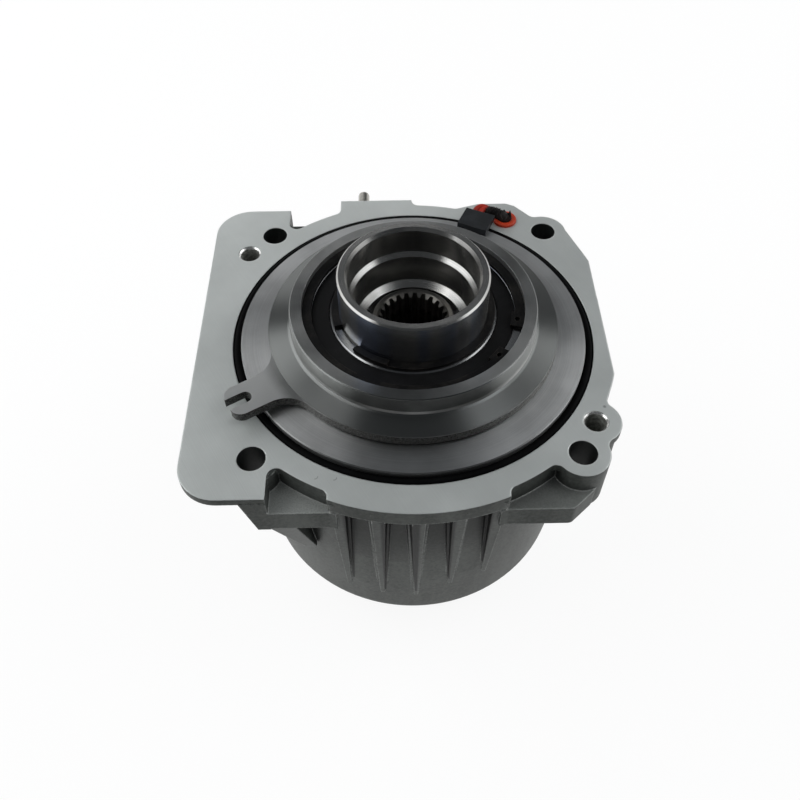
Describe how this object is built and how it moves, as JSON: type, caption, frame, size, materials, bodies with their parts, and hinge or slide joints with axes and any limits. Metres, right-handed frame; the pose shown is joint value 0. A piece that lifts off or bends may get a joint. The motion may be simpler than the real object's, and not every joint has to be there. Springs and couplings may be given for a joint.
{
  "type": "rear differential coupling",
  "caption": "Electromagnetic plate clutch coupling for a rear axle: ribbed cast housing with a bolting flange, slotted coil carrier on a sealed bearing, rotating hub and splined shaft.",
  "frame": {"origin": "on the turning axis in the machined face of the mounting flange", "axes": "+Z along the turning axis out of the flange toward the differential, X and Y parallel to the sides of the bolt square, +X away from the wide side of the flange"},
  "size_m": [0.1697, 0.1855, 0.1663],
  "materials": {
    "cast_aluminium": "fine sand-cast with a milled flange face",
    "turned_steel": "turned, fine concentric tool marks",
    "ground_steel": "ground and polished",
    "hardened_steel": "hardened, dark",
    "bearing_steel": "ground bearing steel",
    "stainless_steel": "turned",
    "black_spring_steel": "phosphated and oiled",
    "black_rubber": "matt",
    "orange_silicone": "satin",
    "orange_insulation": "satin",
    "black_plastic": "moulded",
    "enamelled_copper": "varnished winding",
    "bronze": "plain",
    "friction_steel": "oiled plate steel"
  },
  "bodies": {
    "case": {"housing": "cast_aluminium", "cover_ring": "turned_steel", "flange_o_ring": "black_rubber", "breather": "stainless_steel", "wire_grommet": "orange_silicone", "wire_plug": "black_plastic", "coil_lead": "orange_insulation", "lead_holder": "black_plastic", "drum_bearing_outer": "bearing_steel", "housing_snap_ring": "black_spring_steel", "input_oil_seal": "black_rubber"},
    "coil_carrier": {"yoke": "turned_steel", "coil_bobbin": "black_plastic", "coil_winding": "enamelled_copper", "coil_bearing_outer": "bearing_steel", "coil_bearing_shields": "black_rubber", "yoke_snap_ring": "black_spring_steel"},
    "input_drum": {"drum": "ground_steel", "rotor_hub": "ground_steel", "flux_ring": "stainless_steel", "rotor_rim": "turned_steel", "coil_bearing_inner": "bearing_steel", "hub_snap_ring": "black_spring_steel", "drum_bearing_inner": "bearing_steel", "drum_snap_ring": "black_spring_steel", "shaft_bush": "bronze", "needle_cup": "bearing_steel", "thrust_washer": "bearing_steel", "drum_plates": "friction_steel", "pilot_drum_plates": "friction_steel"},
    "coil_ball_set": {"coil_bearing_balls": "bearing_steel", "coil_bearing_cage": "black_plastic"},
    "drum_ball_set": {"drum_bearing_balls": "bearing_steel", "drum_bearing_cage": "black_plastic"},
    "output_shaft": {"clutch_shaft": "hardened_steel", "shaft_plates": "friction_steel", "return_spring": "hardened_steel"},
    "needle_set": {"needle_rollers": "bearing_steel"},
    "pressure_cam": {"main_cam": "hardened_steel"},
    "cam_ball_set": {"cam_balls": "bearing_steel"},
    "small_cam": {"pilot_cam": "hardened_steel", "pilot_cam_plate": "friction_steel"},
    "magnet_plate": {"armature": "turned_steel"}
  },
  "joints": [
    {"name": "input_spin", "type": "hinge", "parent": "case", "child": "input_drum", "pos_m": [0, 0, 0], "axis": [0, 0, 1], "continuous": true},
    {"name": "slip_spin", "type": "hinge", "parent": "input_drum", "child": "output_shaft", "pos_m": [0, 0, 0], "axis": [0, 0, 1], "continuous": true},
    {"name": "carrier_swing", "type": "hinge", "parent": "case", "child": "coil_carrier", "pos_m": [0, 0, 0], "axis": [0, 0, 1], "range_deg": [-2, 2]},
    {"name": "coil_ball_orbit", "type": "hinge", "parent": "coil_carrier", "child": "coil_ball_set", "pos_m": [0, 0, 0], "axis": [0, 0, 1], "continuous": true},
    {"name": "drum_ball_orbit", "type": "hinge", "parent": "case", "child": "drum_ball_set", "pos_m": [0, 0, 0], "axis": [0, 0, 1], "continuous": true},
    {"name": "needle_orbit", "type": "hinge", "parent": "input_drum", "child": "needle_set", "pos_m": [0, 0, 0], "axis": [0, 0, 1], "continuous": true},
    {"name": "pilot_turn", "type": "hinge", "parent": "output_shaft", "child": "small_cam", "pos_m": [0, 0, 0], "axis": [0, 0, 1], "range_deg": [0, 6]},
    {"name": "cam_squeeze", "type": "slide", "parent": "output_shaft", "child": "pressure_cam", "axis": [0, 0, -1], "range_m": [0, 0.0008], "stiffness_N_per_m": 1000, "springref_m": -0.0006, "deforming": ["return_spring"]},
    {"name": "cam_ball_roll", "type": "hinge", "parent": "pressure_cam", "child": "cam_ball_set", "pos_m": [0, 0, 0], "axis": [0, 0, 1], "range_deg": [0, 3]},
    {"name": "armature_pull", "type": "slide", "parent": "input_drum", "child": "magnet_plate", "axis": [0, 0, 1], "range_m": [0, 0.0006]}
  ],
  "couplings": [
    {"joint": "coil_ball_orbit", "follows": "input_spin", "ratio": 0.448},
    {"joint": "drum_ball_orbit", "follows": "input_spin", "ratio": 0.4233},
    {"joint": "needle_orbit", "follows": "slip_spin", "ratio": 0.465},
    {"joint": "cam_squeeze", "follows": "pilot_turn", "m_per_rad": 0.00763},
    {"joint": "cam_ball_roll", "follows": "pilot_turn", "ratio": 0.5}
  ]
}
